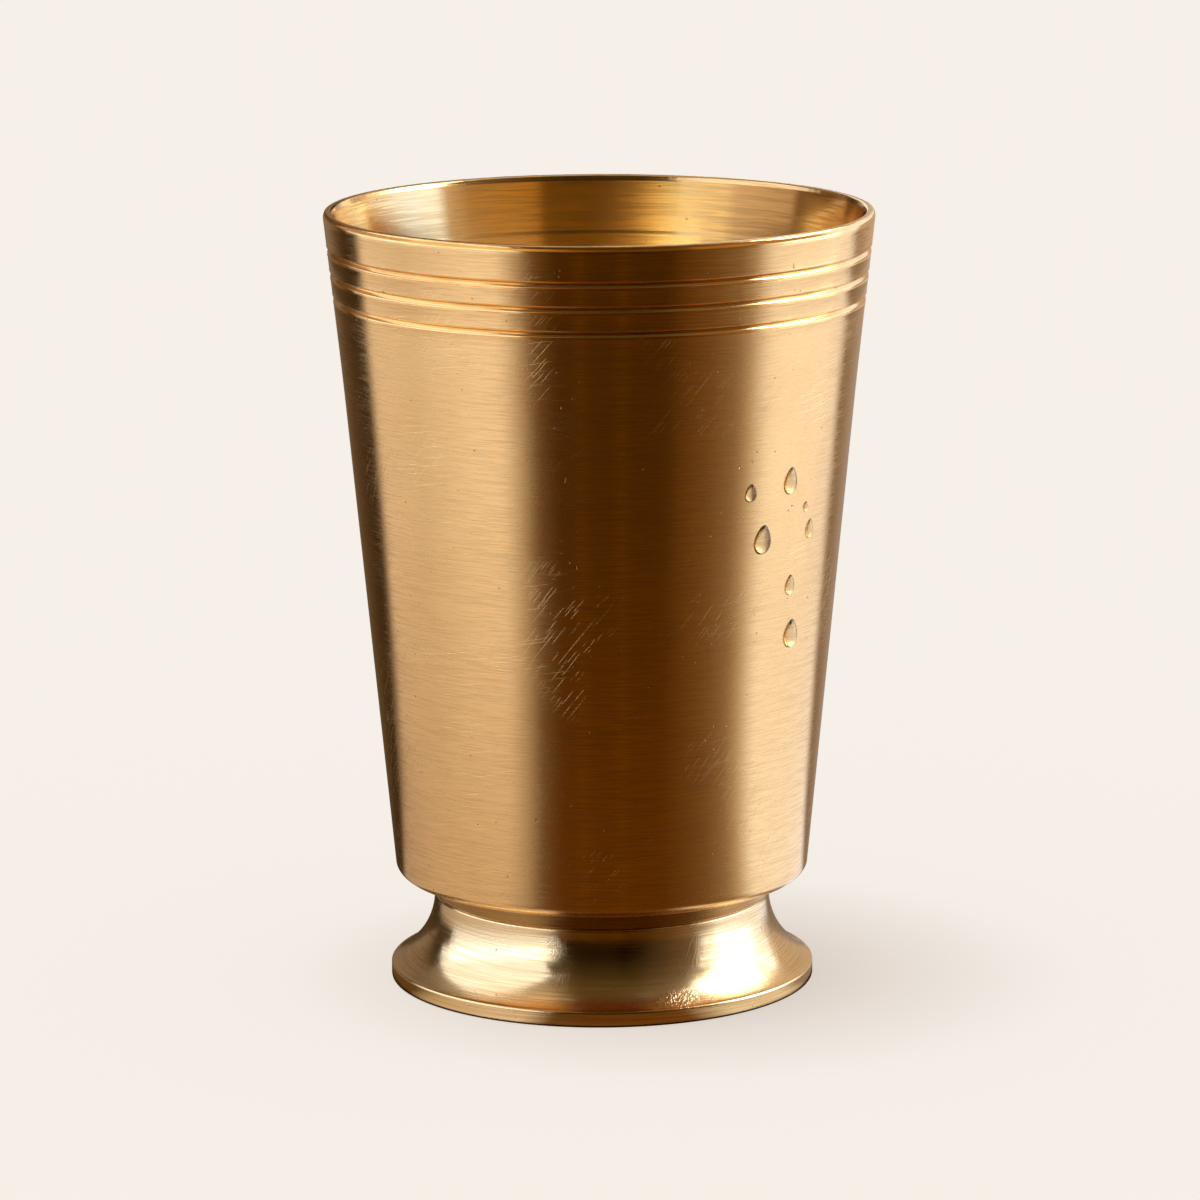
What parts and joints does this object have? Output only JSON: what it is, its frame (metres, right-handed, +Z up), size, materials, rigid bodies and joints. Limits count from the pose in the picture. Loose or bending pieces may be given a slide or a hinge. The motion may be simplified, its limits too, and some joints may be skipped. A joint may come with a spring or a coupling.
{
  "type": "footed tumbler",
  "caption": "Tapered brass drinking tumbler with a grooved, slightly flared lip, on a narrow collar and a hollow flared foot that stands on a flat ring.",
  "frame": {"origin": "centre of the flat ring that the foot stands on, at table level", "axes": "+Z up along the axis of the cup, X and Y across the mouth"},
  "size_m": [0.08, 0.08, 0.1136],
  "materials": {
    "brushed_brass": "brushed round the axis, satin",
    "polished_brass": "turned and polished",
    "braze_filler": "as flowed, dull"
  },
  "bodies": {
    "root": {"cup": "brushed_brass", "collar": "polished_brass", "foot": "polished_brass", "cup_braze_ring": "braze_filler", "foot_braze_fillet": "braze_filler"}
  },
  "joints": []
}
